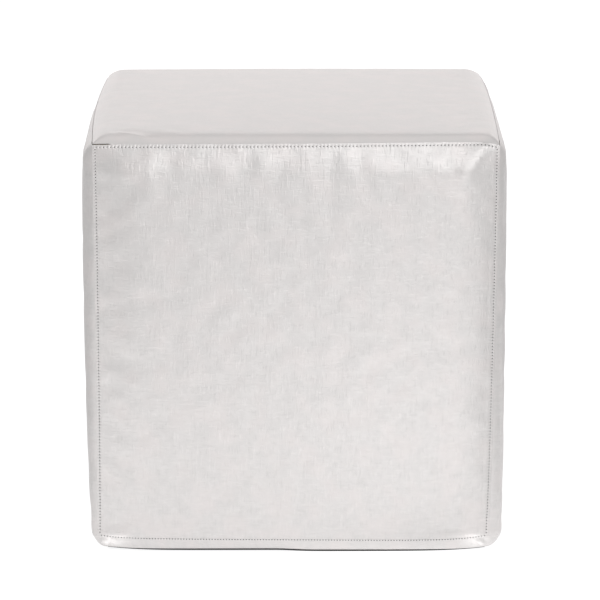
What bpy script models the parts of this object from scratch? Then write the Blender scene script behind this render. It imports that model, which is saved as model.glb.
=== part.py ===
"""Cube pouf stool: a filled cube in a sewn cover of pearl faux leather.

The cover is a top panel and four wall panels, sewn edge to edge. A strip sewn below each wall turns
under the stool, and a dark base cloth closes the underside. Metres, +Z up; the origin is on the
floor under the middle of the stool, and the front faces -Y.

Every piece is cut from one swollen cube. Its twelve seams are curves between eight drawn-in
corners, and each of its six faces is a sheet stretched over its four seams, rolled over along
each seam and crowned between them.
"""
from collections import namedtuple
from math import asin, cos, exp, radians, sin, tan

import bmesh
import bpy
from mathutils import Vector
from mathutils.geometry import intersect_point_line

# Overall form
HALF_WIDTH = 0.2143          # crown of a wall panel from the middle of the stool
TOP_HEIGHT = 0.4295          # crown of the seat above the floor
HALF_SPAN = 0.200            # seam length that the grid and the rolls are measured on, halved
WALL_CROWN = 0.002           # a wall's middle stands this far out from its own rolled edge
WALL_TAPER = 0.003           # a wall leans in by this much towards the floor
TOP_CROWN = 0.002

# Cloth
PANEL_THICKNESS = 0.002
BASE_THICKNESS = 0.0024
GAP = 0.0003                 # between pieces that touch
UNDER_GAP = 0.0008           # between the filling and the turned-under strips, which curve most
SEAM_INSET = 0.00018         # each sheet stops this far short of its seam line

# Underside
BAND_FLOOR = BASE_THICKNESS + GAP
BAND_WIDTH = 0.055           # from the lower seam to the hem under the stool
CORNER_LIFT = 0.0035         # the turned-under corners lift off the floor
BASE_HALF = 0.2005
BASE_CORNER_RADIUS = 0.041
BASE_CORNER_STEPS = 5

# How a sheet rolls over beside its seams: the width of the roll at each kind of edge
Roll = namedtuple("Roll", "beside above below")
ROLLS = {
    "wall": Roll(beside=0.029, above=0.020, below=0.009),
    "top": Roll(beside=0.018, above=0.018, below=0.017),
    "bottom": Roll(beside=0.011, above=0.011, below=0.011),
}
SEAM_ANGLE = radians(45)     # slope of a sheet where it meets its seam
SHARP_ANGLE = radians(40)    # folds sharper than this are shaded as edges

# Grid lines across a panel: distance from the seam, for one half of it
GRID_LINES = (0.0, 0.004, 0.009, 0.017, 0.029, 0.046, 0.072, 0.125, HALF_SPAN)
GRID_CELLS = 2 * (len(GRID_LINES) - 1)
BAND_LINES = (0.0, 0.002, 0.0045, 0.008, 0.012, 0.030, BAND_WIDTH)

# Corners where three seams meet, by the side of the stool that each coordinate is on
CORNERS = {
    (-1, -1, -1): Vector((-0.1992, -0.2000, 0.0170)),
    (+1, -1, -1): Vector((+0.1985, -0.2000, 0.0160)),
    (-1, +1, -1): Vector((-0.1985, +0.2000, 0.0165)),
    (+1, +1, -1): Vector((+0.1985, +0.2000, 0.0165)),
    (-1, -1, +1): Vector((-0.2003, -0.2020, 0.4188)),
    (+1, -1, +1): Vector((+0.2012, -0.2020, 0.4198)),
    (-1, +1, +1): Vector((-0.2003, +0.2020, 0.4188)),
    (+1, +1, +1): Vector((+0.2012, +0.2020, 0.4196)),
}

# Seams between the corners. The key has 0 for the axis that a seam runs along.
# bow: how far mid-length lies from the straight line; sway: an S on top of it
Seam = namedtuple("Seam", "bow sway")
SEAMS = {
    (0, -1, +1): Seam(bow=Vector((0, -0.0055, 0.0011)), sway=Vector((0, 0, 0.0004))),
    (0, +1, +1): Seam(bow=Vector((0, 0.0055, 0.0011)), sway=Vector((0, 0, 0))),
    (-1, 0, +1): Seam(bow=Vector((-0.0052, 0, 0.0011)), sway=Vector((0, 0, 0))),
    (+1, 0, +1): Seam(bow=Vector((0.0030, 0, 0.0011)), sway=Vector((0.0008, 0, 0))),
    (-1, -1, 0): Seam(bow=Vector((0.0008, -0.0010, 0)), sway=Vector((0, 0, 0))),
    (+1, -1, 0): Seam(bow=Vector((-0.0018, -0.0010, 0)), sway=Vector((0.0008, 0, 0))),
    (-1, +1, 0): Seam(bow=Vector((0.0006, 0.0010, 0)), sway=Vector((0, 0, 0))),
    (+1, +1, 0): Seam(bow=Vector((-0.0010, 0.0010, 0)), sway=Vector((0, 0, 0))),
    (0, -1, -1): Seam(bow=Vector((0, -0.0080, -0.0035)), sway=Vector((0, 0, -0.0006))),
    (0, +1, -1): Seam(bow=Vector((0, 0.0080, -0.0035)), sway=Vector((0, 0, 0))),
    (-1, 0, -1): Seam(bow=Vector((-0.0095, 0, -0.0035)), sway=Vector((0, 0, 0))),
    (+1, 0, -1): Seam(bow=Vector((0.0110, 0, -0.0035)), sway=Vector((0, 0, 0))),
}
BOW_POWER = 2
LOWER_BOW_POWER = 6          # a lower seam runs straight and turns in and up close to its corners

Face = namedtuple("Face", "kind across up normal crown_at crown")
FACES = {
    "front": Face("wall", Vector((1, 0, 0)), Vector((0, 0, 1)), Vector((0, -1, 0)), HALF_WIDTH, WALL_CROWN),
    "back": Face("wall", Vector((-1, 0, 0)), Vector((0, 0, 1)), Vector((0, 1, 0)), HALF_WIDTH, WALL_CROWN),
    "left": Face("wall", Vector((0, -1, 0)), Vector((0, 0, 1)), Vector((-1, 0, 0)), HALF_WIDTH, WALL_CROWN),
    "right": Face("wall", Vector((0, 1, 0)), Vector((0, 0, 1)), Vector((1, 0, 0)), HALF_WIDTH, WALL_CROWN),
    "top": Face("top", Vector((1, 0, 0)), Vector((0, 1, 0)), Vector((0, 0, 1)), TOP_HEIGHT, TOP_CROWN),
    "bottom": Face("bottom", Vector((1, 0, 0)), Vector((0, -1, 0)), Vector((0, 0, -1)), -BAND_FLOOR, 0.0),
}

# Soft creases. start and end: metres across and up the face from its middle; height < 0 is a trough
Crease = namedtuple("Crease", "face start end width height")
CREASES = (
    Crease("top", start=(-0.183, -0.183), end=(-0.154, -0.194), width=0.008, height=0.0014),
    Crease("top", start=(-0.165, -0.174), end=(-0.128, -0.191), width=0.010, height=-0.0022),
    Crease("top", start=(0.171, -0.175), end=(0.150, -0.190), width=0.010, height=-0.0012),
    Crease("left", start=(0.183, 0.130), end=(0.172, 0.183), width=0.012, height=-0.0016),
    Crease("right", start=(-0.183, 0.120), end=(-0.172, 0.183), width=0.012, height=-0.0020),
    Crease("front", start=(0.183, 0.183), end=(0.150, 0.128), width=0.014, height=0.0012),
    Crease("front", start=(-0.183, -0.185), end=(-0.154, -0.172), width=0.010, height=-0.0012),
    Crease("front", start=(0.183, -0.185), end=(0.154, -0.168), width=0.012, height=-0.0014),
    Crease("back", start=(0.183, 0.180), end=(0.150, 0.150), width=0.012, height=-0.0014),
    Crease("back", start=(-0.183, -0.183), end=(-0.128, -0.165), width=0.012, height=-0.0012),
)

Finish = namedtuple("Finish", "colour roughness metallic")
PEARL = Finish(colour=(0.70, 0.68, 0.67, 1), roughness=0.42, metallic=0.6)
DARK_CLOTH = Finish(colour=(0.03, 0.03, 0.03, 1), roughness=0.9, metallic=0.0)
FILLING = Finish(colour=(0.75, 0.70, 0.58, 1), roughness=0.95, metallic=0.0)


def seam_point(where):
    """Point of the seam network; `where` has each coordinate from -1 to 1, and two of them at an end."""
    running = min(range(3), key=lambda axis: abs(where[axis]))
    along = where[running]
    ends = []
    for end in (-1, 1):
        key = [round(value) for value in where]
        key[running] = end
        ends.append(CORNERS[tuple(key)])
    straight = ends[0].lerp(ends[1], (1 + along) / 2)
    key = [round(value) for value in where]
    key[running] = 0
    seam = SEAMS[tuple(key)]
    fullness = 1 - abs(along) ** (LOWER_BOW_POWER if where[2] < 0 and running < 2 else BOW_POWER)
    return straight + (seam.bow + seam.sway * along * 2) * fullness


def stretched_sheet(face, s, t):
    """The flat sheet between a face's four seams; s runs across the face and t up it, from -1 to 1."""
    def on_seam(a, b):
        return seam_point(face.normal + face.across * a + face.up * b)
    right, top = (1 + s) / 2, (1 + t) / 2
    between_sides = on_seam(-1, t).lerp(on_seam(1, t), right)
    between_ends = on_seam(s, -1).lerp(on_seam(s, 1), top)
    lower, upper = (on_seam(-1, row).lerp(on_seam(1, row), right) for row in (-1, 1))
    return between_sides + between_ends - lower.lerp(upper, top)


def edge_shares(face, s, t):
    """The way out over each edge of a face, and how far across that edge's roll the point is, 0 to 1."""
    roll = ROLLS[face.kind]
    edges = (
        (-face.across, 1 + s, roll.beside),
        (face.across, 1 - s, roll.beside),
        (-face.up, 1 + t, roll.below),
        (face.up, 1 - t, roll.above),
    )
    return [(way, min(reach * HALF_SPAN / width, 1)) for way, reach, width in edges]


def lean(share):
    """How far the sheet leans over at that share of a roll, in radians: the seam's slope down to level."""
    return asin(sin(SEAM_ANGLE) * (1 - share))


def rolled(share):
    """Height of the roll at that share of its width: an arc from the seam up to level, 0 to 1."""
    foot = cos(SEAM_ANGLE)
    return (cos(lean(share)) - foot) / (1 - foot)


def crease_height(name, s, t):
    """How far the creases of a face lift or sink it at a point, each fading out sideways and at its ends."""
    here = Vector((s, t)) * HALF_SPAN
    height = 0.0
    for crease in CREASES:
        if crease.face == name:
            nearest, share = intersect_point_line(here, crease.start, crease.end)
            nearest = Vector(crease.start).lerp(Vector(crease.end), max(0.0, min(1.0, share)))
            height += crease.height * exp(-((here - nearest).length / crease.width) ** 2)
    return height


def surface_point(name, s, t, depth=0.0):
    """Point of the swollen cube on one face, `depth` below its outer surface."""
    face = FACES[name]
    sheet = stretched_sheet(face, s, t)
    crown_at = face.crown_at - face.crown * (1 - (1 - s * s) * (1 - t * t))
    if face.kind == "wall":
        crown_at -= WALL_TAPER * ((1 - t) / 2) ** 2
    if name == "bottom":
        crown_at -= CORNER_LIFT * abs(s * t) ** LOWER_BOW_POWER
    rise = 1.0
    inward = face.normal.copy()
    for way, share in edge_shares(face, s, t):
        rise *= rolled(share)
        inward += way * tan(lean(share))
    crown_at += crease_height(name, s, t)
    sheet += face.normal * rise * (crown_at - sheet.dot(face.normal))
    return sheet - inward.normalized() * depth


def graded(position):
    """Grid line at an evenly spaced position from -1 to 1, crowded towards the seams."""
    index = (1 - abs(position)) * (len(GRID_LINES) - 1)
    lower = min(int(index), len(GRID_LINES) - 2)
    distance = GRID_LINES[lower] + (GRID_LINES[lower + 1] - GRID_LINES[lower]) * (index - lower)
    size = 1 - distance / HALF_SPAN
    return size if position > 0 else -size


def short_of_seam(position, inset):
    """Pull the outermost grid line in, so that neighbouring sheets stay apart."""
    reach = 1 - inset / HALF_SPAN
    return max(-reach, min(reach, position))


def material(name, finish):
    made = bpy.data.materials.new(name)
    made.use_nodes = True
    shader = made.node_tree.nodes["Principled BSDF"]
    shader.inputs["Base Color"].default_value = finish.colour
    shader.inputs["Roughness"].default_value = finish.roughness
    shader.inputs["Metallic"].default_value = finish.metallic
    made.diffuse_color = finish.colour
    return made


def make_object(name, shape, finish):
    bmesh.ops.recalc_face_normals(shape, faces=shape.faces)
    if shape.calc_volume(signed=True) < 0:
        bmesh.ops.reverse_faces(shape, faces=shape.faces)
    mesh = bpy.data.meshes.new(name)
    shape.to_mesh(mesh)
    shape.free()
    mesh.shade_smooth()
    mesh.set_sharp_from_angle(angle=SHARP_ANGLE)
    mesh.materials.append(material(name, finish))
    made = bpy.data.objects.new(name, mesh)
    bpy.context.scene.collection.objects.link(made)
    return made


def lay_out(shape, place):
    """Move a shape's points to the surface, remember where they came from, and cut it into triangles.

    The filling and the cloth on it are cut along the same diagonals, so they lie parallel.
    """
    origin = shape.verts.layers.float_vector.new("origin")
    for vert in shape.verts:
        vert[origin] = vert.co
        vert.co = place(vert.co)
    bmesh.ops.triangulate(shape, faces=shape.faces[:], quad_method="SHORT_EDGE")
    return origin


def make_sheet(name, y_cells, place, finish):
    """A sheet of cloth from a grid; place(point, depth, inset) says where each side of it lies."""
    shape = bmesh.new()
    bmesh.ops.create_grid(shape, x_segments=GRID_CELLS, y_segments=y_cells, size=1)
    origin = lay_out(shape, place)
    outer = set(shape.verts)
    bmesh.ops.extrude_face_region(shape, geom=shape.faces[:])
    for vert in shape.verts:
        vert.co = place(vert[origin], 0.0 if vert in outer else PANEL_THICKNESS, SEAM_INSET)
    shape.verts.layers.float_vector.remove(origin)
    return make_object(name, shape, finish)


def make_panel(side):
    def place(point, depth=0.0, inset=0.0):
        s, t = (short_of_seam(graded(value), inset) for value in point.xy)
        return surface_point(side, s, t, depth)
    return make_sheet(f"{side}_panel", GRID_CELLS, place, PEARL)


def make_band(side):
    """A strip below one wall, turned under the stool and mitred to its neighbours at both ends."""
    face = FACES[side]
    under = FACES["bottom"]

    def place(point, depth=0.0, inset=0.0):
        line = round((1 - point.y) / 2 * (len(BAND_LINES) - 1))
        inward = max(BAND_LINES[line], inset) / HALF_SPAN
        length = short_of_seam(graded(point.x), inset)
        where = (face.normal + face.across * length) * (1 - inward)
        return surface_point("bottom", where.dot(under.across), where.dot(under.up), depth)
    return make_sheet(f"{side}_band", len(BAND_LINES) - 1, place, PEARL)


def make_core():
    """The filled cube under the cover, one closed solid."""
    def place(point, depth=0.0):
        where = Vector([graded(value) for value in point])
        name = max(FACES, key=lambda side: where.dot(FACES[side].normal))
        face = FACES[name]
        if depth and name == "bottom":
            depth += UNDER_GAP - GAP
        return surface_point(name, where.dot(face.across), where.dot(face.up), depth)

    shape = bmesh.new()
    bmesh.ops.create_cube(shape, size=2)
    bmesh.ops.subdivide_edges(shape, edges=shape.edges[:], cuts=GRID_CELLS - 1, use_grid_fill=True)
    origin = lay_out(shape, place)
    for vert in shape.verts:
        vert.co = place(vert[origin], PANEL_THICKNESS + GAP)
    shape.verts.layers.float_vector.remove(origin)
    return make_object("filled_core", shape, FILLING)


def make_base():
    """The dark base cloth: a flat sheet with rounded corners that the stool rests on."""
    shape = bmesh.new()
    bmesh.ops.create_cube(shape, size=1)
    bmesh.ops.scale(shape, verts=shape.verts, vec=(2 * BASE_HALF, 2 * BASE_HALF, BASE_THICKNESS))
    bmesh.ops.translate(shape, verts=shape.verts, vec=(0, 0, BASE_THICKNESS / 2))
    upright = [edge for edge in shape.edges if abs(edge.verts[0].co.z - edge.verts[1].co.z) > GAP]
    bmesh.ops.bevel(shape, geom=upright, offset=BASE_CORNER_RADIUS, segments=BASE_CORNER_STEPS,
                    affect="EDGES", profile=0.5)
    return make_object("base_panel", shape, DARK_CLOTH)


def main():
    for old in list(bpy.data.objects):
        bpy.data.objects.remove(old)
    make_core()
    for side in ("top", "front", "back", "left", "right"):
        make_panel(side)
    for side in ("front", "back", "left", "right"):
        make_band(side)
    make_base()


main()
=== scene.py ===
# %% [markdown]
# # A cube pouf stool in pearl faux leather
# The real stool is a foam cube in a sewn cover. Five panels are cut from silver-white faux leather and
# sewn edge to edge, a strip below each wall turns under the stool, and a dark cloth closes the underside.
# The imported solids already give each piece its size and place. This notebook makes what they leave out:
# soft cloth with creases, folded seam edges, topstitching, and the finish of every surface.

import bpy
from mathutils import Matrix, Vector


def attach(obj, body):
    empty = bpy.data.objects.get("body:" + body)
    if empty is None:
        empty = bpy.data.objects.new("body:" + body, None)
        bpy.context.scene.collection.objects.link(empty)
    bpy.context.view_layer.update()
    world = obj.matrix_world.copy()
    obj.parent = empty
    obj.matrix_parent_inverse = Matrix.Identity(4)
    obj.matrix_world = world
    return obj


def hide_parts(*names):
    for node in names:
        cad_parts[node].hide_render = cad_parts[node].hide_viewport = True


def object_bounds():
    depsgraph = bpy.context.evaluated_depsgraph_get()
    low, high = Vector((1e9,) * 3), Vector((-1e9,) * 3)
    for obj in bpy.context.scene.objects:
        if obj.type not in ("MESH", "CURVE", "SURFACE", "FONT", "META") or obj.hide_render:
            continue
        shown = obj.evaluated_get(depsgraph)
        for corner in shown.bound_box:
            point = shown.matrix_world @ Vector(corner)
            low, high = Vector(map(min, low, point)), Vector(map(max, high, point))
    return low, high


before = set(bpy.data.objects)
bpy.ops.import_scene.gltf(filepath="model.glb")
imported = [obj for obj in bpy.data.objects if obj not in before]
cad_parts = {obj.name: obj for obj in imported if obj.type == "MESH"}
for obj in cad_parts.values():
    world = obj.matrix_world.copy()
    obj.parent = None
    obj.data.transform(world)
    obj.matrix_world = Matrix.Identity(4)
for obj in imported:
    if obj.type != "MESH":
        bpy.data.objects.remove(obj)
cad_low, cad_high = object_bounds()
print("solids:", sorted(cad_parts), "height", round(cad_high.z, 4))

# %% Other modules
from collections import namedtuple
from math import cos, pi, radians, sin

import bmesh
import bpy
import numpy as np
from mathutils import Matrix, Quaternion, Vector

# %% [markdown]
# ## The form of the cover
# Every panel is part of one swollen cube, so one function can place all of them, and neighbours meet
# exactly at their seams. A model of this kind could be sculpted by hand, but then no two pieces would
# share an edge. Here the twelve seams are curves between eight drawn-in corners. Each face is a sheet
# stretched over its four seams, rolled over beside each seam and crowned between them.
# Metres throughout: +Z is up, the front faces -Y, and +X is to the right.

# %% Sizes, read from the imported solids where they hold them
HALF_SPAN = 0.200                      # half of a panel's edge; distances from seams are measured on it
TOP_HEIGHT = cad_high.z
HALF_WIDTH = (cad_high.x - cad_low.x) / 2 + 0.0005
SHEET_THICKNESS = 0.0012
BASE_CLEAR = 0.0002                    # between the base cloth and the strips that lie on it
BAND_FLOOR = SHEET_THICKNESS + BASE_CLEAR
CROWN = 0.002                          # a face is this much lower at its corners than in its middle
CORNER_LIFT = 0.0060                   # the turned-under corners lift off the floor
SEAM_ANGLE = radians(45)
print("half width", round(HALF_WIDTH, 4), "strips above floor", round(BAND_FLOOR, 4))

# %% [markdown]
# ### Corners and seams
# Sewn corners are drawn in, because three layers meet there and foam doesn't fill them. The lower
# seams bulge where the stool's weight spreads the foam, and run straight until close to the corners.

# %% Corners, by the side of the stool that each coordinate is on
CORNERS = {
    (-1, -1, -1): (-0.1998, -0.2000, 0.0170),
    (+1, -1, -1): (+0.1948, -0.2000, 0.0160),
    (-1, +1, -1): (-0.1985, +0.2000, 0.0165),
    (+1, +1, -1): (+0.1985, +0.2000, 0.0165),
    (-1, -1, +1): (-0.2003, -0.2020, 0.4188),
    (+1, -1, +1): (+0.2022, -0.2020, 0.4170),
    (-1, +1, +1): (-0.2003, +0.2020, 0.4188),
    (+1, +1, +1): (+0.2012, +0.2020, 0.4196),
}

# %% Seams; the key has 0 for the axis that a seam runs along
# bow: how far mid-length lies from the straight line; sway: an S on top of it;
# power: 2 is an even bow, and a higher one runs straight and turns close to the corners
Seam = namedtuple("Seam", "bow sway power")
SEAMS = {
    (0, -1, +1): Seam(bow=(0, -0.0055, 0.0025), sway=(0, 0, 0.0010), power=(2, 2, 18)),
    (0, +1, +1): Seam(bow=(0, 0.0055, 0.0011), sway=(0, 0, 0), power=2),
    (-1, 0, +1): Seam(bow=(-0.0052, 0, 0.0011), sway=(0, 0, 0), power=2),
    (+1, 0, +1): Seam(bow=(0.0028, 0, 0.0030), sway=(0.0008, 0, -0.0008), power=(2, 2, 8)),
    (-1, -1, 0): Seam(bow=(0.0008, -0.0010, 0), sway=(0, 0, 0), power=2),
    (+1, -1, 0): Seam(bow=(0.0011, -0.0010, 0), sway=(-0.0002, 0, 0), power=4),
    (-1, +1, 0): Seam(bow=(0.0006, 0.0010, 0), sway=(0, 0, 0), power=2),
    (+1, +1, 0): Seam(bow=(-0.0010, 0.0010, 0), sway=(0, 0, 0), power=2),
    (0, -1, -1): Seam(bow=(0, -0.0080, -0.0035), sway=(0, 0, -0.0006), power=6),
    (0, +1, -1): Seam(bow=(0, 0.0080, -0.0035), sway=(0, 0, 0), power=6),
    (-1, 0, -1): Seam(bow=(-0.0065, 0, -0.0035), sway=(0, 0, 0), power=24),
    (+1, 0, -1): Seam(bow=(0.0128, 0, -0.0035), sway=(0, 0, 0), power=34),
}


def seam(fixed, way, reach):
    """Points of a seam: `fixed` says which two sides it lies on, and `reach` goes -1 to 1 along `way`."""
    axis = int(np.argmax(np.abs(way)))
    along = np.asarray(reach, float)[..., None] * way[axis]
    start, end = (np.array(CORNERS[tuple(int(v) for v in fixed + step * np.abs(way))]) for step in (-1, 1))
    shape = SEAMS[tuple(int(v) for v in fixed)]
    bend = np.array(shape.bow) + np.array(shape.sway) * along * 2
    return start + (end - start) * (1 + along) / 2 + bend * (1 - np.abs(along) ** np.array(shape.power))


print(len(CORNERS), "corners,", len(SEAMS), "seams")

# %% [markdown]
# ### Faces and rolls
# A face knows which way is across it, up it and out of it. Its sheet leaves each seam at 45 degrees and
# rolls over to level, as thin foam under a tight cover does: narrow rolls read as a crisp new cube. Foam
# blocks often have their edges cut off, and then the roll is nearly flat and ends in a quick bend. The
# seat's front roll is the other way round: it bends most at the seam and eases off far into the seat.

# %% Faces
# A wall leans in towards the floor by `taper`, towards the seat by `shy`, and at its lower ends by `tuck`.
Face = namedtuple("Face", "across up normal crown_at taper shy tuck")
# `bends` are for the left, right, lower and upper roll: 1 is round, less is flatter with a quick end, and
# more bends at the seam and eases off slowly.
# `skew` makes the roll below wider on the right than on the left.
Roll = namedtuple("Roll", "left right below above bends skew", defaults=((1, 1, 1, 1), 0))
FACES = {
    "front": Face((1, 0, 0), (0, 0, 1), (0, -1, 0), HALF_WIDTH, 0.0030, 0, 0),
    "back": Face((-1, 0, 0), (0, 0, 1), (0, 1, 0), HALF_WIDTH, 0.0030, 0, 0),
    "left": Face((0, -1, 0), (0, 0, 1), (-1, 0, 0), HALF_WIDTH + 0.0005, 0.0038, 0.0008, 0.0030),
    "right": Face((0, 1, 0), (0, 0, 1), (1, 0, 0), HALF_WIDTH - 0.0012, 0.0015, 0, 0.0005),
    "top": Face((1, 0, 0), (0, 1, 0), (0, 0, 1), TOP_HEIGHT, 0, 0, 0),
    "bottom": Face((1, 0, 0), (0, -1, 0), (0, 0, -1), -BAND_FLOOR, 0, 0, 0),
}
FACES = {name: Face(*map(np.array, face[:3]), *face[3:]) for name, face in FACES.items()}
WALLS = [name for name, face in FACES.items() if face.normal[2] == 0]
UNDER = FACES["bottom"]
FLAT_ROLLS = (0.5, 0.5, 1, 0.5)
ROLLS = {
    "front": Roll(left=0.042, right=0.037, below=0.010, above=0.029, bends=FLAT_ROLLS, skew=0.45),
    "back": Roll(left=0.037, right=0.037, below=0.009, above=0.029, bends=FLAT_ROLLS),
    "left": Roll(left=0.029, right=0.029, below=0.010, above=0.020),
    "right": Roll(left=0.029, right=0.029, below=0.009, above=0.020),
    "top": Roll(left=0.018, right=0.018, below=0.036, above=0.013, bends=(1, 1, 4, 1)),
    "bottom": Roll(left=0.011, right=0.011, below=0.011, above=0.011),
}
# At a corner 0 lets two rolls cut it off, and at 1 they meet in an edge.
SEAT_FULLNESS, LOWER_FULLNESS, UPPER_FULLNESS = 1.0, 0.7, 0.0


def stretched(face, s, t):
    """The flat sheet between a face's four seams; s runs across the face and t up it, from -1 to 1."""
    out, across, up = face.normal, face.across, face.up
    right, top = ((1 + value)[..., None] / 2 for value in (s, t))
    sides = seam(out - across, up, t) * (1 - right) + seam(out + across, up, t) * right
    ends = seam(out - up, across, s) * (1 - top) + seam(out + up, across, s) * top
    one = np.ones_like(s)
    lower, upper = (seam(out + up * row, across, -one) * (1 - right)
                    + seam(out + up * row, across, one) * right for row in (-1, 1))
    return sides + ends - lower * (1 - top) - upper * top


ROLL_STEPS = np.linspace(0, 1, 400)


def lean(share, bend=1):
    """How far the sheet leans over at that share of a roll: the seam's slope at 0, level at 1."""
    return np.arcsin(sin(SEAM_ANGLE) * (1 - share) ** bend)


def climbed(share, bend=1):
    """How much of the roll's height is reached there: its slope, summed up from the seam."""
    slope = np.tan(lean(ROLL_STEPS, bend))
    height = np.concatenate([[0], np.cumsum(slope[1:] + slope[:-1])])
    return np.interp(share, ROLL_STEPS, height / height[-1])


def edge_distances(s, t):
    """Metres to the left, right, lower and upper seam."""
    return [reach * HALF_SPAN for reach in (1 + s, 1 - s, 1 + t, 1 - t)]


def meet(first, second, fullness):
    """The rise where two rolls meet: their product, filled out towards the lesser of them."""
    power = 3
    greater = (first ** power + second ** power - (first * second) ** power) ** (1 / power)
    return first * second / np.maximum(greater, 1e-6) ** fullness


def form(side, s, t):
    """The smooth form of a face: its points, and the way straight out of the cloth at each."""
    face, roll = FACES[side], ROLLS[side]
    points = stretched(face, s, t)
    down, up = (1 - t) / 2, (1 + t) / 2
    crown_at = face.crown_at - (CROWN if side != "bottom" else 0) * (1 - (1 - s ** 2) * (1 - t ** 2))
    crown_at = crown_at - face.taper * down ** 2 - face.shy * up ** 4 - face.tuck * s ** 2 * down ** 5
    if side == "bottom":
        crown_at = crown_at - CORNER_LIFT * np.abs(s * t) ** 12
    outward = np.broadcast_to(face.normal, points.shape).astype(float)
    ways = (-face.across, face.across, -face.up, face.up)
    widths = (roll.left, roll.right, roll.below * (1 + roll.skew * s), roll.above)
    rises = []
    for way, distance, width, bend in zip(ways, edge_distances(s, t), widths, roll.bends):
        share = np.clip(distance / width, 0, 1)
        rises.append(climbed(share, bend))
        outward = outward + way * np.tan(lean(share, bend))[..., None]
    if side == "top":
        fullness = SEAT_FULLNESS
    else:
        fullness = np.where((t < 0) | (side == "bottom"), LOWER_FULLNESS, UPPER_FULLNESS)
    rise = meet(rises[0] * rises[1], rises[2] * rises[3], fullness)
    points = points + face.normal * (rise * (crown_at - points @ face.normal))[..., None]
    return points, outward / np.linalg.norm(outward, axis=-1, keepdims=True)


middle = form("front", np.zeros(1), np.zeros(1))[0][0]
print("middle of the front panel", middle.round(4))

# %% [markdown]
# ### What sewing and handling do to the cloth
# The smooth form is too perfect. A topstitched seam has its two allowances folded under the panel, so a
# strip beside the seam stands a little proud, and the thread pulls a fine valley into it. Corners have
# short pleats where spare cloth is gathered. Each is listed as a soft trough or ridge.

# %% Topstitching rows
# A row runs `inset` inside the seam, one stitch each `pitch`, and stops `end` before the corner. The folded
# allowances lift the cloth beside it by `rise`.
# The front and back have a row on every edge. The sides have one on the lower edge only.
ROW_END, SIDE_ROW_END = 0.0035, 0.016
Row = namedtuple("Row", "inset pitch rise end", defaults=(ROW_END,))
TOPSTITCHED = {
    "left": Row(inset=0.0027, pitch=0.0031, rise=0.0002),
    "right": Row(inset=0.0027, pitch=0.0031, rise=0.0002),
    "lower": Row(inset=0.0016, pitch=0.0029, rise=0.0002),
    "upper": Row(inset=0.0025, pitch=0.0036, rise=0.00005),
}
SIDE_ROWS = {"lower": TOPSTITCHED["lower"]._replace(end=SIDE_ROW_END)}
ROWS = {side: TOPSTITCHED if side in ("front", "back") else SIDE_ROWS for side in WALLS}
print("rows of stitches:", {side: list(rows) for side, rows in ROWS.items()})

# %% Seams up close
FOLD_RADIUS = 0.0008                   # a sheet's edge is folded in, not cut
FOLD_DROP = 0.0007
ALLOWANCE_WIDTH = 0.0062               # the folded allowances start to thin out this far inside the seam
ALLOWANCE_END = 0.002                  # and are gone this much further on
VALLEY_DEPTH = 0.00010                 # how far the thread pulls the cloth down
VALLEY_WIDTH = 0.0010
SEAM_INSET = 0.00001                   # half of the hairline between two panels at a closed seam
SEAM_GAP = 0.00050                     # and half of the gap at an open one
CLOSED_SEAM, SIDE_SEAM, OPEN_SEAM = 0.02, 0.85, 1.0
GAPE_START = 0.181                     # the upper seams gape from here to their corners
GAPE_RUN = 0.004
RIGHT_GAPE = 0.1                       # the front's right corner gapes by this share of the others' gape


def smooth_step(value):
    share = np.clip(value, 0, 1)
    return share * share * (3 - 2 * share)


def openness(side, edge, run):
    """How far a seam gapes, 0 to 1, at `run` metres from the middle of its edge."""
    along_top = side == "top" or (side in WALLS and edge == "upper")
    if side == "top" and edge in ("left", "right"):
        return np.full_like(run, SIDE_SEAM)
    gape = smooth_step((np.abs(run) - GAPE_START) / GAPE_RUN) if along_top else 0 * run
    if (side, edge) in (("top", "lower"), ("front", "upper")):
        gape = gape * np.where(run > 0, RIGHT_GAPE, 1)
    return CLOSED_SEAM + (OPEN_SEAM - CLOSED_SEAM) * gape


def drawn_in(side, s, t):
    """The same place, drawn in from the seams by half of their gaps."""
    across = openness(side, "left", t * HALF_SPAN)
    lower, upper = (openness(side, edge, s * HALF_SPAN) for edge in ("lower", "upper"))
    along = np.where(t > 0, upper, lower)
    return (s * (1 - (SEAM_INSET + SEAM_GAP * across) / HALF_SPAN),
            t * (1 - (SEAM_INSET + SEAM_GAP * along) / HALF_SPAN))


def sewn_edge(distance, row, gape):
    """Height of the cloth beside a seam: the folded edge, and with a row its allowances and valley."""
    turned = np.clip(1 - distance / FOLD_RADIUS, 0, 1)
    height = -FOLD_DROP * gape * (1 - np.sqrt(1 - turned ** 2))
    if row is not None:
        height = height + row.rise * (1 - smooth_step((distance - ALLOWANCE_WIDTH) / ALLOWANCE_END))
        height = height - VALLEY_DEPTH * np.exp(-((distance - row.inset) / VALLEY_WIDTH) ** 2)
    return height


print("an open seam gapes by", 2 * SEAM_GAP)
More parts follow.
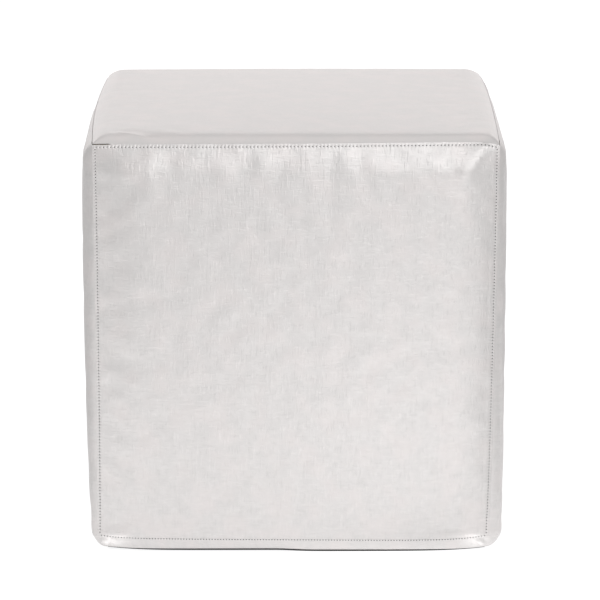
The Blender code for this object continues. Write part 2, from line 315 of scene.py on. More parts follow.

# %% Creases, listed one by one
# start and end are metres across and up the face from its middle; a height below 0 is a trough
Crease = namedtuple("Crease", "side start end width height")
CREASES = (
    Crease("top", (-0.165, -0.174), (-0.128, -0.191), 0.010, -0.0007),
    Crease("left", (0.183, 0.130), (0.172, 0.183), 0.012, -0.0012),
    Crease("right", (-0.183, 0.120), (-0.172, 0.183), 0.012, -0.0016),
    Crease("front", (0.1855, 0.1970), (0.1665, 0.1680), 0.007, 0.0013),
    Crease("front", (-0.183, -0.185), (-0.154, -0.172), 0.010, -0.0008),
    Crease("front", (0.183, -0.185), (0.154, -0.168), 0.012, -0.0010),
    Crease("back", (0.183, 0.180), (0.150, 0.150), 0.012, -0.0014),
    Crease("back", (-0.183, -0.183), (-0.128, -0.165), 0.012, -0.0012),
    # the pleat at the seat's front left corner: a narrow ridge
    Crease("top", (-0.172, -0.180), (-0.148, -0.194), 0.0030, 0.0010),
    # gathers at the lower front corners: a short pillow below the seam, then a pucker
    Crease("bottom", (-0.1940, 0.1982), (-0.1880, 0.1968), 0.0020, 0.0024),
    Crease("bottom", (-0.1838, 0.1996), (-0.1785, 0.1972), 0.0010, -0.0014),
    Crease("bottom", (0.1872, 0.1972), (0.1900, 0.1976), 0.0022, 0.0024),
    Crease("bottom", (0.1812, 0.1990), (0.1805, 0.1955), 0.0007, 0.0006),
    # the underside is a little higher along the left half of the front
    Crease("bottom", (-0.175, 0.188), (-0.020, 0.190), 0.022, -0.0013),
    # the cover is drawn in where the walls meet the back of the seat
    Crease("left", (-0.19, 0.185), (-0.05, 0.192), 0.022, -0.0030),
    Crease("right", (0.19, 0.190), (0.10, 0.194), 0.018, -0.0008),
)


def crease_height(side, s, t):
    across, up = s * HALF_SPAN, t * HALF_SPAN
    height = np.zeros_like(s)
    for crease in (one for one in CREASES if one.side == side):
        start, end = np.array(crease.start), np.array(crease.end)
        run = end - start
        share = ((across - start[0]) * run[0] + (up - start[1]) * run[1]) / (run @ run)
        share = np.clip(share, 0, 1)
        away = np.hypot(across - start[0] - run[0] * share, up - start[1] - run[1] * share)
        height = height + crease.height * np.exp(-(away / crease.width) ** 2)
    return height


print(len(CREASES), "creases placed by hand")

# %% [markdown]
# ### Let the cover settle
# Between the seams, real cloth finds its own shape. So a closed body of the whole cover is blown up with
# Blender's cloth simulation: its seams are pinned, it has slightly more cloth than the form needs, and
# gravity is off. Foam holds the real panels nearly flat, so the swell itself is taken off again. The
# unevenness that gathers beside the seams is kept, capped to under a millimetre, and every panel reads
# it. That way the panels keep clean edges, which a remeshed body would lose.

# %% Settling
SETTLE_CELLS = 44
SETTLE_FRAMES = 20
SWELL_PASSES = 10                      # blurring steps that tell the swell from the unevenness on it
UNEVEN_SHARE = 0.3                     # of the unevenness, what is kept
SEAT_UNEVEN_SHARE = 0.08               # the seat is pulled smooth
UNEVEN_CAP = 0.0008
settled = {side: np.zeros((SETTLE_CELLS + 1, SETTLE_CELLS + 1)) for side in FACES}


def spot(where):
    """The face that a point of the unit cube lies on, and its place across and up that face."""
    side = max(FACES, key=lambda name: round(float(FACES[name].normal @ where), 4))
    return side, np.array([where @ FACES[side].across]), np.array([where @ FACES[side].up])


def cover_body():
    """The closed cover as one cube of cloth, with each point's place on the unit cube."""
    body = bmesh.new()
    bmesh.ops.create_cube(body, size=2)
    bmesh.ops.subdivide_edges(body, edges=body.edges[:], cuts=SETTLE_CELLS - 1, use_grid_fill=True)
    wheres = np.array([vert.co for vert in body.verts])
    for vert, where in zip(body.verts, wheres):
        vert.co = form(*spot(where))[0][0]
    return body, wheres


def settle():
    """Blow the cover up and note how far each point moved out of its face."""
    body, wheres = cover_body()
    mesh = bpy.data.meshes.new("settling_cover")
    body.to_mesh(mesh)
    body.free()
    cover = bpy.data.objects.new("settling_cover", mesh)
    bpy.context.scene.collection.objects.link(cover)
    pins = cover.vertex_groups.new(name="seams")
    pins.add([i for i, where in enumerate(wheres) if sorted(np.abs(where))[1] > 0.999], 1.0, "REPLACE")
    cloth = cover.modifiers.new("Cloth", "CLOTH").settings
    cloth.vertex_group_mass = "seams"
    cloth.use_pressure = True
    cloth.uniform_pressure_force = 4
    cloth.effector_weights.gravity = 0
    cloth.shrink_min = cloth.shrink_max = -0.012
    cloth.tension_stiffness = cloth.compression_stiffness = 30
    cloth.bending_stiffness = 2.5
    scene = bpy.context.scene
    for number in range(1, SETTLE_FRAMES + 1):
        scene.frame_set(number)
    evaluated = cover.evaluated_get(bpy.context.evaluated_depsgraph_get())
    before, after = (np.array([vert.co for vert in shape.vertices]) for shape in (mesh, evaluated.data))
    moved = after - before
    for side, face in FACES.items():
        for where, step in zip(wheres, moved):
            if face.normal @ where > 0.999:
                row, column = (round((1 + way @ where) / 2 * SETTLE_CELLS) for way in (face.up, face.across))
                settled[side][row, column] = face.normal @ step
    bpy.data.objects.remove(cover)
    scene.frame_set(1)


def blurred(heights):
    for axis in (0, 1) * SWELL_PASSES:
        padded = np.concatenate([heights.take([0], axis), heights, heights.take([-1], axis)], axis)
        count = heights.shape[axis]
        before, after = padded.take(range(count), axis), padded.take(range(2, count + 2), axis)
        heights = (before + 2 * heights + after) / 4
    return heights


settle()
settled["bottom"][:] = 0                # the floor keeps the underside flat
for side, heights in settled.items():
    uneven = (heights - blurred(heights)) * (SEAT_UNEVEN_SHARE if side == "top" else UNEVEN_SHARE)
    settled[side] = np.clip(uneven, -UNEVEN_CAP, UNEVEN_CAP)
    print(side, "swelled by", heights.max().round(4), "and stays uneven by", np.ptp(settled[side]).round(5))


def settled_height(side, s, t):
    """The unevenness at any point of a face, read between the settled points."""
    heights = settled[side]
    column, row = ((1 + value) / 2 * SETTLE_CELLS for value in (s, t))
    left, low = (np.clip(value.astype(int), 0, SETTLE_CELLS - 1) for value in (column, row))
    x, y = column - left, row - low
    lower = heights[low, left] * (1 - x) + heights[low, left + 1] * x
    upper = heights[low + 1, left] * (1 - x) + heights[low + 1, left + 1] * x
    return lower * (1 - y) + upper * y

# %% [markdown]
# ### One function for every point of the cover
# The smooth form, the sewn edges, the creases and the settled unevenness are added up along the way out
# of the cloth. `depth` goes inwards from the outer side, so the same function gives a sheet's inner side
# and the filling below it.

# %% A point of the cloth
CREASE_CLEAR = 0.004                   # creases and unevenness fade out this close to a seam
STRIP_CLEAR = 0.0012                   # and this close on the strips


def cloth_point(side, s, t, depth=0.0):
    points, outward = form(side, s, t)
    distances = dict(zip(("left", "right", "lower", "upper"), edge_distances(s, t)))
    clear = STRIP_CLEAR if side == "bottom" else CREASE_CLEAR
    fade = 1.0
    height = 0.0
    for edge, distance in distances.items():
        fade = fade * smooth_step(distance / clear)
        row = ROWS.get(side, {}).get(edge)
        run = (t if edge in ("left", "right") else s) * HALF_SPAN
        height = height + sewn_edge(distance, row, openness(side, edge, run))
    height = height + (crease_height(side, s, t) + settled_height(side, s, t)) * fade
    return points + outward * (height - depth)[..., None], outward


print("middle of the seat", cloth_point("top", np.zeros(1), np.zeros(1))[0][0].round(4))

# %% [markdown]
# ## The five panels
# Vinyl with its foam backing is a bit over a millimetre thick, so each panel is a thin closed sheet: a flat
# grid, extruded once, with both sides laid on the form. A single face with no thickness would show a paper
# edge in the seams. The grid's lines crowd together beside the seams, where the fold and the valley of
# the topstitching need them, and are wide apart over the plain middle.

# %% Grid lines that crowd towards the seams
FIRST_LINE = 0.00022
LINE_GROWTH = 1.10
WIDEST_LINE = 0.0042


def crowded_lines(reach, first=FIRST_LINE, widest=WIDEST_LINE):
    """Distances from a seam, close together at first and then ever wider, up to `reach`."""
    steps = [first]
    while sum(steps) < reach:
        steps.append(min(steps[-1] * LINE_GROWTH, widest))
    lines = np.concatenate([[0], np.cumsum(steps)])
    return lines * reach / lines[-1]


PANEL_LINES = crowded_lines(HALF_SPAN)
PANEL_CELLS = 2 * (len(PANEL_LINES) - 1)
print("a panel has", PANEL_CELLS, "cells each way")


def crowded(position):
    """Even grid positions, -1 to 1, moved so that their lines crowd towards both seams."""
    even = np.linspace(0, 1, len(PANEL_LINES))
    distance = np.interp(1 - np.abs(position), even, PANEL_LINES)
    return np.sign(position) * (1 - distance / HALF_SPAN)


# %% A sheet of cloth
SHARP_ANGLE = radians(50)


def make_sheet(name, cells_across, cells_up, place, flat_place):
    """A flat grid, extruded once and laid out; `flat_place` gives its pattern's coordinates in metres."""
    sheet = bmesh.new()
    bmesh.ops.create_grid(sheet, x_segments=cells_across, y_segments=cells_up, size=1)
    outer = len(sheet.verts)
    bmesh.ops.extrude_face_region(sheet, geom=sheet.faces[:])
    sheet.verts.index_update()
    even = np.array([vert.co.xy for vert in sheet.verts])
    flat = flat_place(even[:, 0], even[:, 1])
    pattern = sheet.loops.layers.uv.new("sheet")
    for face in sheet.faces:
        for loop in face.loops:
            loop[pattern].uv = flat[loop.vert.index]
    depths = np.where(np.arange(len(even)) < outer, 0.0, SHEET_THICKNESS)
    for vert, point in zip(sheet.verts, place(even[:, 0], even[:, 1], depths)):
        vert.co = point
    bmesh.ops.recalc_face_normals(sheet, faces=sheet.faces[:])
    if sheet.calc_volume(signed=True) < 0:
        bmesh.ops.reverse_faces(sheet, faces=sheet.faces[:])
    return finished(name, sheet)


def finished(name, shape):
    """Turn a bmesh into a smooth-shaded piece in the scene."""
    mesh = bpy.data.meshes.new(name)
    shape.to_mesh(mesh)
    shape.free()
    mesh.shade_smooth()
    mesh.set_sharp_from_angle(angle=SHARP_ANGLE)
    piece = bpy.data.objects.new(name, mesh)
    bpy.context.scene.collection.objects.link(piece)
    print("made", name, "with", len(mesh.polygons), "faces")
    return piece


# %% Cut and lay the panels
def make_panel(side):
    def place(x, y, depths):
        return cloth_point(side, *drawn_in(side, crowded(x), crowded(y)), depths)[0]

    def flat_place(x, y):
        return np.stack([crowded(x), crowded(y)], axis=1) * HALF_SPAN
    return make_sheet(f"{side}_cover", PANEL_CELLS, PANEL_CELLS, place, flat_place)


panels = {side: make_panel(side) for side in ["top", *WALLS]}

# %% [markdown]
# ## The strips below the walls
# A strip is sewn to the lower edge of each wall, turns under the stool and is mitred to its neighbours, so
# only its rolled edge shows. It is the outer part of the underside face, made like a panel.

# %% Cut and lay the strips
BAND_WIDTH = 0.055
BAND_LINES = crowded_lines(BAND_WIDTH, first=0.0003, widest=0.003)


def band_place(side, length, inward):
    """A strip's place on the underside face: `length` along its wall, `inward` in metres from the seam."""
    face = FACES[side]
    where = (face.normal + face.across * length[..., None]) * (1 - inward / HALF_SPAN)[..., None]
    return where @ UNDER.across, where @ UNDER.up


def make_band(side):
    def inward(y):
        return np.interp(1 - y, np.linspace(0, 2, len(BAND_LINES)), BAND_LINES)

    def place(x, y, depths):
        length = crowded(x) * (1 - SEAM_INSET / HALF_SPAN)
        return cloth_point("bottom", *band_place(side, length, inward(y) + SEAM_INSET), depths)[0]

    def flat_place(x, y):
        return np.stack([crowded(x) * HALF_SPAN, -inward(y)], axis=1)
    return make_sheet(f"{side}_strip", PANEL_CELLS, len(BAND_LINES) - 1, place, flat_place)


strips = {side: make_band(side) for side in WALLS}

# %% [markdown]
# ## Filling and base cloth
# The filling is one padded body under the cover, cut from the same form, so nothing shows through a
# seam. The base cloth is a flat dark sheet, drawn in at its corners. It is all that touches the floor, and
# from the front it shows as a dark line along the foot.

# %% Filling
FILLING_GAP = 0.0009
UNDER_GAP = 0.0006


def make_filling():
    body, wheres = cover_body()
    for vert, where in zip(body.verts, wheres):
        side, s, t = spot(where)
        depth = SHEET_THICKNESS + FILLING_GAP + (UNDER_GAP if side == "bottom" else 0)
        vert.co = cloth_point(side, s, t, depth)[0][0]
    return finished("filling", body)


filling = make_filling()

# %% Base cloth
BASE_INSET = 0.0085                    # its edge lies this far inside the lower seams
BASE_HALF = HALF_SPAN - BASE_INSET
BASE_CORNER = 0.035                    # its corners are drawn in by this share
BASE_CELLS = 64


def base_spread(x, y):
    """The grid with its lines crowded towards the edge and its corners drawn in, -1 to 1."""
    x, y = np.sin(x * pi / 2), np.sin(y * pi / 2)
    pull = BASE_CORNER * (x * y) ** 4
    return x * (1 - pull), y * (1 - pull)


def make_base():
    def place(x, y, depths):
        s, t = (value * BASE_HALF / HALF_SPAN for value in base_spread(x, y))
        points = cloth_point("bottom", s, t, depths - BAND_FLOOR)[0]
        points[:, 2] = np.maximum(points[:, 2], depths)    # it lies flat on the floor
        return points

    def flat_place(x, y):
        return np.stack(base_spread(x, y), axis=1) * BASE_HALF
    return make_sheet("base_cloth", BASE_CELLS, BASE_CELLS, place, flat_place)


base = make_base()

# %% [markdown]
# ## Topstitching
# The stitches could be painted on, but close up a thread lies proud of the cloth and casts a tiny shadow.
# So each stitch is a small spindle of thread that dips into the cloth at both ends, with a needle hole
# between it and the next: a dark disc just proud of the cloth, painted shade for the hole. One wall's
# rows are joined into one piece.

# %% Stitches
THREAD_HALF_WIDTH = 0.00028
THREAD_HALF_HEIGHT = 0.00020
STITCH_SHARE = 0.40                    # half a stitch's length, as a share of the pitch
# a needle hole is a near-black disc just proud of the cloth: painted shade for the hole
HOLE_RADIUS = 0.00062
HOLE_DEPTH = 0.00025
HOLE_PROUD = 0.00012
HOLE = 1                               # a hole has the second finish of its row, and thread the first


def small_part(name, make, **sizes):
    """A small mesh made once by a bmesh operator, to be copied into a row."""
    part = bmesh.new()
    make(part, **sizes)
    mesh = bpy.data.meshes.new(name)
    part.to_mesh(mesh)
    part.free()
    return mesh


SPINDLE = small_part("spindle", bmesh.ops.create_uvsphere, u_segments=6, v_segments=6, radius=1)
NEEDLE_HOLE_SHADE = small_part("needle_hole_shade", bmesh.ops.create_cone, cap_ends=True, segments=8,
                         radius1=HOLE_RADIUS, radius2=HOLE_RADIUS, depth=HOLE_DEPTH)
for face in NEEDLE_HOLE_SHADE.polygons:
    face.material_index = HOLE


def add_copy(rows, part, place):
    one = part.copy()
    one.transform(place)
    rows.from_mesh(one)
    bpy.data.meshes.remove(one)


def add_stitch(rows, point, along, outward, half_length):
    turn = Matrix((outward, outward.cross(along).normalized(), along)).transposed().to_4x4()
    size = Matrix.Diagonal((THREAD_HALF_HEIGHT, THREAD_HALF_WIDTH, half_length, 1))
    add_copy(rows, SPINDLE, Matrix.Translation(point) @ turn @ size)


def add_hole(rows, point, outward):
    turn = outward.to_track_quat("Z", "Y").to_matrix().to_4x4()
    add_copy(rows, NEEDLE_HOLE_SHADE, Matrix.Translation(point + outward * (HOLE_PROUD - HOLE_DEPTH / 2)) @ turn)


def sew_row(rows, place, length, pitch):
    """Sew along `place`, a function from metres along the row to points and ways out."""
    count = int(length / pitch)
    starts = (np.arange(count + 1) - count / 2) * pitch
    holes, outs = place(starts)
    threads, thread_outs = place(starts[:-1] + pitch / 2)
    for point, outward in zip(holes, outs):
        add_hole(rows, Vector(point), Vector(outward))
    for start, end, point, outward in zip(holes, holes[1:], threads, thread_outs):
        along = Vector(end - start).normalized()
        outward = (Vector(outward) - along * along.dot(Vector(outward))).normalized()
        add_stitch(rows, Vector(point), along, outward, pitch * STITCH_SHARE)


def edge_place(side, edge, metres):
    """Points of a row beside one edge of a wall, by metres from the middle of that edge."""
    inset = 1 - ROWS[side][edge].inset / HALF_SPAN
    run = metres / HALF_SPAN
    fixed = np.full_like(run, inset)
    s, t = {"left": (-fixed, run), "right": (fixed, run),
            "lower": (run, -fixed), "upper": (run, fixed)}[edge]
    return cloth_point(side, s, t)


def make_stitches(side):
    rows = bmesh.new()
    for edge, row in ROWS[side].items():
        sew_row(rows, lambda metres: edge_place(side, edge, metres), 2 * (HALF_SPAN - row.end), row.pitch)
    return finished(f"{side}_stitches", rows)


stitches = {side: make_stitches(side) for side in WALLS}

# %% Short rows at the ends of the strips
STRIP_ROW_INSET = 0.0022
STRIP_ROW_ENDS = (0.012, 0.054)        # it starts where the strip has turned under
STRIP_PITCH = 0.0031


def make_strip_stitches(side):
    rows = bmesh.new()
    for end in (-1, 1):
        def place(metres):
            inward = metres + sum(STRIP_ROW_ENDS) / 2
            length = end * (1 - STRIP_ROW_INSET / (HALF_SPAN - inward))
            return cloth_point("bottom", *band_place(side, length, inward))
        sew_row(rows, place, STRIP_ROW_ENDS[1] - STRIP_ROW_ENDS[0], STRIP_PITCH)
    return finished(f"{side}_strip_stitches", rows)


strip_stitches = {side: make_strip_stitches(side) for side in WALLS}

# %% [markdown]
# ## Finishes
# Pearl faux leather is a pale plastic skin with fine metal flakes over a woven backing. Three things make
# it read as that and not as paint: a half-metallic shine that is broad and soft, faint cloudy mottling,
# and short crossed streaks where the weave prints through the skin. They are in the colour, in the
# roughness and in the bump, on the panel's own pattern coordinates, so they follow the cloth over its
# edges. Beside a seam the bump also gathers the cloth into each stitch.

# %% Short ways to add shader nodes
def plug(tree, node, sockets):
    """Give each named input of a node a value or another node's output."""
    for key, value in dict(sockets).items():
        if isinstance(value, bpy.types.NodeSocket):
            tree.links.new(value, node.inputs[key])
        else:
            node.inputs[key].default_value = value


def add(tree, kind, sockets=(), **settings):
    made = tree.nodes.new(kind)
    for name, value in settings.items():
        setattr(made, name, value)
    plug(tree, made, sockets)
    return made


def maths(tree, operation, *values):
    return add(tree, "ShaderNodeMath", enumerate(values), operation=operation).outputs[0]


def noise(tree, place, scale, stretch=(1, 1, 1), detail=2.0, roughness=0.5):
    """Noise from 0 to 1; `scale` is features per metre, and `stretch` draws them out along an axis."""
    mapping = add(tree, "ShaderNodeMapping", {"Vector": place, "Scale": stretch})
    return add(tree, "ShaderNodeTexNoise", {"Vector": mapping.outputs[0], "Scale": scale, "Detail": detail,
                                           "Roughness": roughness}).outputs[0]


def wave(tree, place, scale, distortion, way, detail_scale=1.0):
    return add(tree, "ShaderNodeTexWave", {"Vector": place, "Scale": scale, "Distortion": distortion,
                                           "Detail Scale": detail_scale}, bands_direction=way).outputs["Fac"]


def ranged(tree, value, start, end, low=0.0, high=1.0, **settings):
    """The value moved from the range `start` to `end` into the range `low` to `high`."""
    return add(tree, "ShaderNodeMapRange", {"Value": value, "From Min": start, "From Max": end,
                                            "To Min": low, "To Max": high}, **settings).outputs[0]


def blend(tree, share, first, second):
    return add(tree, "ShaderNodeMix", {0: share, 6: first, 7: second}, data_type="RGBA").outputs[2]


def bump(tree, height, strength, distance, under=None, **settings):
    """A bump; `under` is the normal of the bump that it lies on."""
    sockets = {"Height": height, "Strength": strength, "Distance": distance}
    if under is not None:
        sockets["Normal"] = under
    return add(tree, "ShaderNodeBump", sockets, **settings).outputs[0]


def new_finish(name, colour):
    finish = bpy.data.materials.new(name)
    finish.use_nodes = True
    finish.diffuse_color = colour
    return finish, finish.node_tree, finish.node_tree.nodes["Principled BSDF"]


def object_place(tree):
    return add(tree, "ShaderNodeTexCoord").outputs["Object"]


# %% Pearl faux leather
PEARL_LIGHT = (0.812, 0.786, 0.779, 1)
PEARL_DARK = (0.672, 0.654, 0.646, 1)
PEARL_WARM = (0.81, 0.755, 0.745, 1)
WARM_SCALE, WARM_REACH, WARM_SHARE = 35, (0.45, 0.65), 0.35
MOTTLE_SCALE = 140                     # patches about 7 mm across
TONE_REACH = 0.55                      # how far from even the mottling goes before it is all light or dark
DULLEST, SHINIEST = 0.43, 0.33         # roughness of a dark and of a light patch
STROKE_SCALE = 400                     # strokes a little over 1 mm wide
STROKE_STRETCH = 0.20
LIGHT_STROKE, DARK_STROKE = (0.58, 0.72), (0.42, 0.28)
LEVEL_SHARE = 0.8                      # strength of the level strokes next to the upright ones
STROKE_SHARE = 0.20                    # and of both next to the mottling


def strokes(tree, place, stretch):
    """Sparse strokes along one way of the weave: 1 on a light one, -1 on a dark one, 0 between."""
    drawn_out = noise(tree, place, STROKE_SCALE, stretch=stretch, detail=1)
    light, dark = (ranged(tree, drawn_out, *reach, interpolation_type="SMOOTHSTEP")
                   for reach in (LIGHT_STROKE, DARK_STROKE))
    return maths(tree, "SUBTRACT", light, dark)


def pearl_colour(tree, place, cloudy, mottle):
    tone = ranged(tree, cloudy, 0.5 - TONE_REACH / mottle, 0.5 + TONE_REACH / mottle)
    warm = ranged(tree, noise(tree, place, WARM_SCALE, detail=1), *WARM_REACH, high=WARM_SHARE)
    return blend(tree, warm, blend(tree, tone, PEARL_DARK, PEARL_LIGHT), PEARL_WARM)


# %% Pearl's relief
RIPPLE_SCALE, RIPPLE_HEIGHT = 45, 0.0014             # soft dents about 20 mm across
WEAVE_STRENGTH, WEAVE_HEIGHT = 0.25, 0.0004
GRAIN_SCALE, GRAIN_STRENGTH, GRAIN_HEIGHT = 1500, 0.15, 0.00008
GATHER_WIDTH, GATHER_STRENGTH, GATHER_HEIGHT = 0.0011, 0.6, 0.00025


def seam_gathers(tree, place, rows):
    """Depth of the small dents at each needle hole, -1 to 1, by the pattern's coordinates."""
    xyz = add(tree, "ShaderNodeSeparateXYZ", {"Vector": place})
    across, up = xyz.outputs[0], xyz.outputs[1]
    total = None
    for edge, row in rows.items():
        run, side = (up, across) if edge in ("left", "right") else (across, up)
        sign = -1 if edge in ("left", "lower") else 1
        away = maths(tree, "MULTIPLY_ADD", side, -sign, HALF_SPAN - row.inset)
        away = maths(tree, "DIVIDE", away, GATHER_WIDTH)
        near = maths(tree, "POWER", 0.5, maths(tree, "MULTIPLY", away, away))
        count = int(2 * (HALF_SPAN - row.end) / row.pitch)
        phase = pi * (count % 2)
        pull = maths(tree, "COSINE", maths(tree, "MULTIPLY_ADD", run, 2 * pi / row.pitch, phase))
        dent = maths(tree, "MULTIPLY", near, pull)
        total = dent if total is None else maths(tree, "ADD", total, dent)
    return total


def pearl_relief(tree, place, weave, mottle, rows):
    ripple = noise(tree, place, RIPPLE_SCALE, detail=0)
    grain = noise(tree, place, GRAIN_SCALE, detail=3)
    relief = bump(tree, ripple, mottle, RIPPLE_HEIGHT)
    relief = bump(tree, weave, WEAVE_STRENGTH * mottle, WEAVE_HEIGHT, under=relief)
    relief = bump(tree, grain, GRAIN_STRENGTH * mottle, GRAIN_HEIGHT, under=relief)
    if rows is not None:
        relief = bump(tree, seam_gathers(tree, place, rows), GATHER_STRENGTH, GATHER_HEIGHT, under=relief,
                      invert=True)
    return relief


# %% Pearl, put together for each use
def pearl(name, mottle=1.0, rows=None):
    finish, tree, shader = new_finish(name, PEARL_LIGHT)
    place = add(tree, "ShaderNodeUVMap", uv_map="sheet").outputs[0]
    clouds = noise(tree, place, MOTTLE_SCALE, detail=3, roughness=0.6)
    upright = strokes(tree, place, (1, STROKE_STRETCH, 1))
    level = strokes(tree, place, (STROKE_STRETCH, 1, 1))
    weave = maths(tree, "MULTIPLY_ADD", level, LEVEL_SHARE, upright)
    cloudy = maths(tree, "MULTIPLY_ADD", weave, STROKE_SHARE, clouds)
    plug(tree, shader, {
        "Base Color": pearl_colour(tree, place, cloudy, mottle),
        "Roughness": ranged(tree, cloudy, 0, 1, DULLEST, SHINIEST),
        "Normal": pearl_relief(tree, place, weave, mottle, rows),
        "Metallic": 0.55,
        "Coat Weight": 0.12,
        "Coat Roughness": 0.28,
    })
    return finish


stitched_pearl = pearl("pearl_stitched", rows=ROWS["front"])
side_pearl = pearl("pearl_side", rows=ROWS["left"])
seat_pearl = pearl("pearl_seat", mottle=0.15)
strip_pearl = pearl("pearl_strip", mottle=0.8)
print("pearl finishes: stitched, side, seat and strip")

# %% [markdown]
# Thread, needle holes, base cloth and filling each have a small finish of their own; the holes' near-black
# finish is painted shade. Thread is twisted, so fine slanted stripes go round it. The base cloth is a dark
# plain weave, made of two crossed waves.

# %% Thread, holes, base cloth and filling
def thread_finish():
    finish, tree, shader = new_finish("thread", (0.92, 0.91, 0.90, 1))
    twist = wave(tree, object_place(tree), 900, 0.5, "DIAGONAL")
    plug(tree, shader, {"Base Color": blend(tree, twist, (0.86, 0.85, 0.84, 1), (0.97, 0.96, 0.95, 1)),
                        "Normal": bump(tree, twist, 0.4, 0.0001), "Roughness": 0.35, "Sheen Weight": 0.2})
    return finish


# near black all over: painted shade for the needle holes
def hole_shade_finish():
    finish, tree, shader = new_finish("needle_hole_shade", (0.05, 0.045, 0.045, 1))
    speckle = noise(tree, object_place(tree), 3000)
    plug(tree, shader, {"Base Color": blend(tree, speckle, (0.03, 0.03, 0.03, 1), (0.09, 0.08, 0.08, 1)),
                        "Roughness": 0.9})
    return finish


def base_finish():
    finish, tree, shader = new_finish("base_weave", (0.03, 0.03, 0.03, 1))
    place = object_place(tree)
    warp, weft = (wave(tree, place, 260, 0.6, way, detail_scale=3.0) for way in ("X", "Y"))
    weave = maths(tree, "MAXIMUM", warp, weft)
    tone = maths(tree, "MULTIPLY", weave, noise(tree, place, 60, detail=3))
    plug(tree, shader, {"Base Color": blend(tree, tone, (0.012, 0.012, 0.013, 1), (0.060, 0.058, 0.060, 1)),
                        "Normal": bump(tree, weave, 0.7, 0.0003), "Roughness": 0.9})
    return finish


def filling_finish():
    finish, tree, shader = new_finish("foam", (0.75, 0.70, 0.58, 1))
    cells = add(tree, "ShaderNodeTexVoronoi", {"Vector": object_place(tree), "Scale": 700}).outputs[0]
    plug(tree, shader, {"Base Color": blend(tree, cells, (0.60, 0.54, 0.42, 1), (0.80, 0.75, 0.62, 1)),
                        "Normal": bump(tree, cells, 0.5, 0.0005), "Roughness": 0.95})
    return finish


# %% Dress the pieces
def dress(pieces, *finishes):
    for piece in pieces:
        for finish in finishes:
            piece.data.materials.append(finish)


dress([panels["top"]], seat_pearl)
dress([panels["front"], panels["back"]], stitched_pearl)
dress([panels["left"], panels["right"]], side_pearl)
dress(strips.values(), strip_pearl)
dress([*stitches.values(), *strip_stitches.values()], thread_finish(), hole_shade_finish())
dress([base], base_finish())
dress([filling], filling_finish())
print("finishes:", [finish.name for finish in bpy.data.materials if finish.users])

# %% [markdown]
# ## Put every piece on the stool's body
# Every piece rides on the one body of the stool, and the imported solid that it stands for is hidden.
# The panels and strips are sheets stretched over the filling. A panel's cloth covers the rolls between two
# seams, and about 11 mm more on each side is folded in at the seam.


def stands_for(piece, node):
    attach(piece, "root")
    if node:
        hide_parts(node)


stands_for(filling, "filled_core")
for side, panel in panels.items():
    stands_for(panel, f"{side}_panel")
for side, strip in strips.items():
    stands_for(strip, f"{side}_band")
for piece in [*stitches.values(), *strip_stitches.values()]:
    stands_for(piece, None)
stands_for(base, "base_panel")

# %% [markdown]
# ## Floor, light and camera
# The photograph is a cut-out on pure white, taken in a white tent: light comes from everywhere, a little
# more from the right, and the left side is shaded. A pearl skin mirrors its room softly, so the room matters
# more than the lamps. The camera sees a white world and floor, and the stool sees a greyer world, a floor
# with soft pools of light, a large lamp at the front right, a weak one high in front, and two faintly pink
# ones above and behind, which the seat mirrors.

# %% Floor
# `reach` is half of a pool's width and length, and a glow below 0 is a shade.
FLOOR_HALF = 6.0
FLOOR_TONE = (0.30, 0.30, 0.30, 1)
FLOOR_GLOW, FLOOR_SEEN_GLOW = 0.38, 0.90
Pool = namedtuple("Pool", "place reach glow")
POOLS = (
    # before the stool, mirrored in its front: lighter to the right and towards the foot
    Pool(place=(0.10, -0.60, 0), reach=(0.90, 2.40, 1), glow=0.67),
    Pool(place=(0.25, -1.20, 0), reach=(0.35, 1.40, 1), glow=0.54),
    # at its sides, mirrored in the rolls and in the side walls
    Pool(place=(-0.40, -0.50, 0), reach=(0.50, 0.60, 1), glow=0.65),
    Pool(place=(-0.80, -0.20, 0), reach=(0.70, 0.50, 1), glow=0.60),
    Pool(place=(-1.40, -1.00, 0), reach=(1.20, 0.90, 1), glow=1.16),
    Pool(place=(0.80, 0.10, 0), reach=(0.60, 0.50, 1), glow=0.62),
    # a shade close to the foot at the right
    Pool(place=(0.17, -0.25, 0), reach=(0.20, 0.06, 1), glow=-0.35),
    # below both front corners, for the glint on their gathers and the shade under them
    *(Pool(place=(side * 0.188, -0.215, 0), reach=(0.026, 0.026, 1), glow=1.2) for side in (-1, 1)),
    *(Pool(place=(side * 0.183, -0.186, 0), reach=(0.024, 0.016, 1), glow=-0.6) for side in (-1, 1)),
    # far behind, mirrored in the side walls at a glancing angle
    Pool(place=(0.80, 2.40, 0), reach=(0.90, 2.00, 1), glow=0.50),
    Pool(place=(-0.80, 2.40, 0), reach=(0.90, 2.00, 1), glow=0.25),
)


def for_camera(tree, value, seen):
    """The value, but `seen` where the camera looks straight at it."""
    camera_ray = add(tree, "ShaderNodeLightPath").outputs["Is Camera Ray"]
    return add(tree, "ShaderNodeMix", {0: camera_ray, 2: value, 3: seen}, data_type="FLOAT").outputs[0]


def make_floor():
    shape = bmesh.new()
    bmesh.ops.create_grid(shape, x_segments=1, y_segments=1, size=FLOOR_HALF)
    floor = finished("floor", shape)
    finish, tree, shader = new_finish("white_floor", (0.9, 0.9, 0.9, 1))
    place = object_place(tree)
    glow = FLOOR_GLOW
    for pool in POOLS:
        spread = add(tree, "ShaderNodeMapping", {"Vector": place, "Location": pool.place,
                                                 "Scale": pool.reach}, vector_type="TEXTURE")
        share = add(tree, "ShaderNodeTexGradient", {0: spread.outputs[0]}, gradient_type="QUADRATIC_SPHERE")
        glow = maths(tree, "MULTIPLY_ADD", share.outputs[1], pool.glow, glow)
    plug(tree, shader, {"Emission Strength": for_camera(tree, glow, FLOOR_SEEN_GLOW),
                        "Emission Color": (1, 1, 1, 1), "Base Color": FLOOR_TONE, "Roughness": 0.9,
                        "Specular IOR Level": 0.0})
    dress([floor], finish)


make_floor()

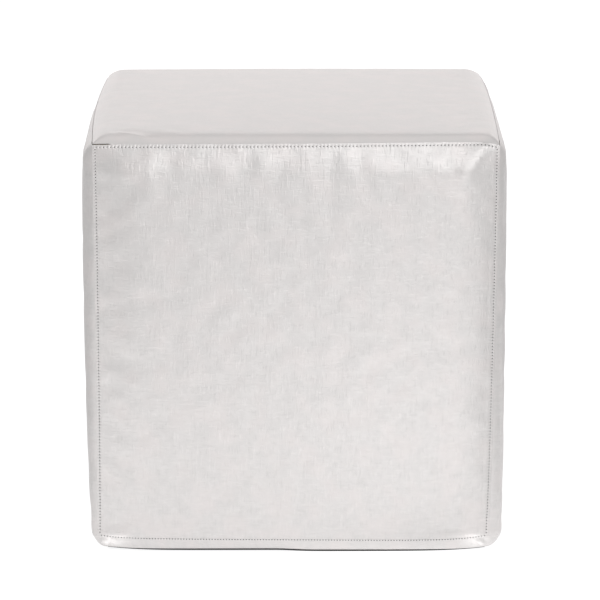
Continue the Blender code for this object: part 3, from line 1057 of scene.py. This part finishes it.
# %% World
TENT_GLOW, TENT_SEEN_GLOW = 0.57, 1.0
world = bpy.data.worlds.new("white_tent")
bpy.context.scene.world = world
world.use_nodes = True
tent = world.node_tree
plug(tent, tent.nodes["Background"], {"Color": (1, 1, 1, 1),
                                      "Strength": for_camera(tent, TENT_GLOW, TENT_SEEN_GLOW)})
print("the tent glows", TENT_GLOW, "and looks", TENT_SEEN_GLOW)

# %% Lamps
WHITE, PINKISH = (1, 1, 1), (1, 0.945, 0.935)
Lamp = namedtuple("Lamp", "name place aim size watts colour")
LAMPS = (
    Lamp("high_softbox", (-0.5, -1.9, 2.3), (0, -0.2, 0.42), size=(1.6, 0.9), watts=2.2, colour=WHITE),
    Lamp("front_softbox", (0.8, -2.6, 1.25), (0, 0, 0.35), size=(2.0, 1.9), watts=15.2, colour=WHITE),
    Lamp("top_softbox", (0, 0.5, 2.6), (0, 0.1, 0.43), size=(1.8, 3.2), watts=6.4, colour=PINKISH),
    Lamp("back_softbox", (0, 3.2, 0.85), (0, 0, 0.43), size=(3.4, 1.7), watts=12.7, colour=PINKISH),
)
for lamp in LAMPS:
    light = bpy.data.lights.new(lamp.name, "AREA")
    light.shape = "RECTANGLE"
    light.size, light.size_y = lamp.size
    light.energy = lamp.watts
    light.color = lamp.colour
    holder = bpy.data.objects.new(lamp.name, light)
    bpy.context.scene.collection.objects.link(holder)
    holder.location = lamp.place
    holder.rotation_euler = (Vector(lamp.aim) - Vector(lamp.place)).to_track_quat("-Z", "Y").to_euler()
    holder.visible_camera = False
print("lamps:", [lamp.name for lamp in LAMPS])

# %% Camera, at the photograph's place
CAMERA_AIM = Vector((0.0057, 0, 0.2151))
CAMERA_DISTANCE = 4.2098
CAMERA_PITCH = radians(12.8614)
CAMERA_YAW = radians(0.2916)
CAMERA_ROLL = radians(-0.046)
LENS = 241.3                           # millimetres, on a sensor 36 mm wide


def make_camera():
    camera = bpy.data.cameras.new("camera")
    camera.lens, camera.sensor_width = LENS, 36
    camera.clip_end = 50
    holder = bpy.data.objects.new("camera", camera)
    bpy.context.scene.collection.objects.link(holder)
    ahead = Vector((sin(CAMERA_YAW) * cos(CAMERA_PITCH),
                    cos(CAMERA_YAW) * cos(CAMERA_PITCH),
                    -sin(CAMERA_PITCH)))
    holder.location = CAMERA_AIM - ahead * CAMERA_DISTANCE
    holder.rotation_mode = "QUATERNION"
    holder.rotation_quaternion = ahead.to_track_quat("-Z", "Y") @ Quaternion((0, 0, 1), CAMERA_ROLL)
    bpy.context.scene.camera = holder
    print("camera at", [round(v, 3) for v in holder.location])


make_camera()
bpy.context.scene.view_settings.view_transform = "Standard"

# %% Bring the scene up to date
bpy.context.view_layer.update()
